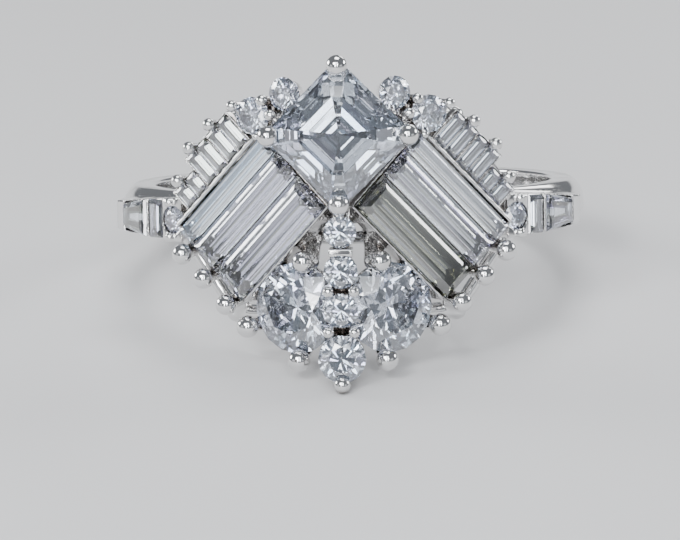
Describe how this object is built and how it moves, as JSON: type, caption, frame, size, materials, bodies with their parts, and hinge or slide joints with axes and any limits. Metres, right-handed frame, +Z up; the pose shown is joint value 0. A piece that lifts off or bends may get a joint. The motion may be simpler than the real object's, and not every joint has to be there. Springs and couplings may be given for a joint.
{
  "type": "moissanite cluster engagement ring",
  "caption": "White metal ring with a square step-cut stone set on its point over two sloping fans of straight-cut stones, round stones down the middle and stone-set shoulders.",
  "frame": {"origin": "centre of the finger hole; the ring lies on its side, leaning back on the rear rim of the shank", "axes": "+Z up from the table; -Y the way the head points; X across the head; the finger hole's axis is tipped 14.9 degrees from Z towards +Y"},
  "size_m": [0.0202, 0.024, 0.0135],
  "materials": {
    "white_metal": "polished rhodium-plated white gold",
    "moissanite": "clear cut stone with polished facets"
  },
  "bodies": {
    "root": {"ring_metal": "white_metal", "centre_stone": "moissanite", "long_stone_right_1": "moissanite", "long_stone_right_2": "moissanite", "long_stone_right_3": "moissanite", "short_stone_right_1": "moissanite", "short_stone_right_2": "moissanite", "short_stone_right_3": "moissanite", "short_stone_right_4": "moissanite", "short_stone_right_5": "moissanite", "short_stone_right_6": "moissanite", "upper_round_right_1": "moissanite", "upper_round_right_2": "moissanite", "corner_round_right": "moissanite", "shoulder_round_right": "moissanite", "tapered_stone_right_1": "moissanite", "tapered_stone_right_2": "moissanite", "long_stone_left_1": "moissanite", "long_stone_left_2": "moissanite", "long_stone_left_3": "moissanite", "short_stone_left_1": "moissanite", "short_stone_left_2": "moissanite", "short_stone_left_3": "moissanite", "short_stone_left_4": "moissanite", "short_stone_left_5": "moissanite", "short_stone_left_6": "moissanite", "upper_round_left_1": "moissanite", "upper_round_left_2": "moissanite", "corner_round_left": "moissanite", "shoulder_round_left": "moissanite", "tapered_stone_left_1": "moissanite", "tapered_stone_left_2": "moissanite", "ridge_round_1": "moissanite", "ridge_round_2": "moissanite", "ridge_round_3": "moissanite", "ridge_round_4": "moissanite"}
  },
  "joints": []
}
